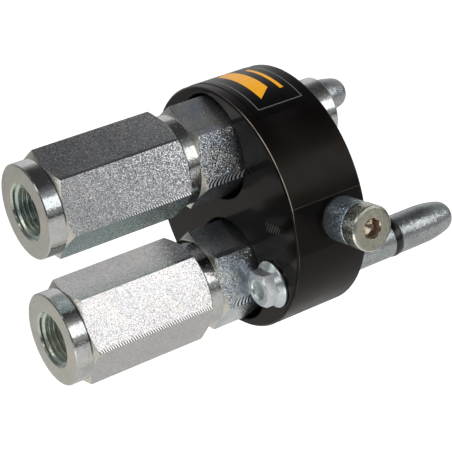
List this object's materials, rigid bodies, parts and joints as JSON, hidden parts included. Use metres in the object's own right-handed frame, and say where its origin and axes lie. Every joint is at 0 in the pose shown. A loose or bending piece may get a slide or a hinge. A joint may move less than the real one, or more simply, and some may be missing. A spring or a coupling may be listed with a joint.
{
  "type": "hydraulic multi-coupling",
  "caption": "Mobile half of a hydraulic multi-coupling: round block with flat-face probes, threaded ports, guide pins and cam rollers.",
  "frame": {"origin": "centre of the block's mating face", "axes": "+X is the direction in which the half is pushed home, +Z runs from the lower line to the upper line"},
  "size_m": [0.1674, 0.1352, 0.0976],
  "materials": {
    "anodised_block": "black hard anodised, turned and milled, satin",
    "zinc_bodies": "clear zinc plated, drawn and turned",
    "zinc_pins": "zinc plated, turned",
    "zinc_bolts": "blue zinc plated, forged",
    "roller_steel": "hardened, blue passivated zinc",
    "screw_steel": "nickel plated",
    "washer_steel": "zinc plated, stamped",
    "clip_steel": "phosphated and oiled spring steel",
    "valve_steel": "turned and ground stainless steel",
    "spring_steel": "drawn stainless spring wire",
    "seal_rubber": "black nitrile, smooth",
    "label_film": "printed polyester film"
  },
  "bodies": {
    "housing": {"coupling_block": "anodised_block", "identification_label": "label_film", "guide_pin_lower": "zinc_pins", "guide_pin_upper": "zinc_pins", "guide_pin_seal_lower": "seal_rubber", "guide_pin_seal_upper": "seal_rubber", "flange_bolts": "zinc_bolts", "retaining_clips": "clip_steel", "roller_screws": "screw_steel", "roller_washers": "washer_steel", "port_body_upper": "zinc_bodies", "probe_body_upper": "zinc_bodies", "valve_guide_upper": "valve_steel", "valve_spring_upper": "spring_steel", "joint_seal_upper": "seal_rubber", "shank_seal_upper": "seal_rubber", "port_body_lower": "zinc_bodies", "probe_body_lower": "zinc_bodies", "valve_guide_lower": "valve_steel", "valve_spring_lower": "spring_steel", "joint_seal_lower": "seal_rubber", "shank_seal_lower": "seal_rubber"},
    "valve_upper": {"valve_poppet_upper": "valve_steel", "poppet_seal_upper": "seal_rubber"},
    "valve_lower": {"valve_poppet_lower": "valve_steel", "poppet_seal_lower": "seal_rubber"},
    "roller_left": {"cam_roller_left": "roller_steel"},
    "roller_right": {"cam_roller_right": "roller_steel"}
  },
  "joints": [
    {"name": "valve_upper_slide", "type": "slide", "parent": "housing", "child": "valve_upper", "axis": [-1, 0, 0], "range_m": [0, 0.008], "stiffness_N_per_m": 2500, "springref_m": -0.01, "deforming": ["valve_spring_upper"]},
    {"name": "valve_lower_slide", "type": "slide", "parent": "housing", "child": "valve_lower", "axis": [-1, 0, 0], "range_m": [0, 0.008], "stiffness_N_per_m": 2500, "springref_m": -0.01, "deforming": ["valve_spring_lower"]},
    {"name": "roller_left_spin", "type": "hinge", "parent": "housing", "child": "roller_left", "pos_m": [-0.0119, 0.0546, 0], "axis": [0, 1, 0], "continuous": true},
    {"name": "roller_right_spin", "type": "hinge", "parent": "housing", "child": "roller_right", "pos_m": [-0.0119, -0.0546, 0], "axis": [0, 1, 0], "continuous": true}
  ]
}
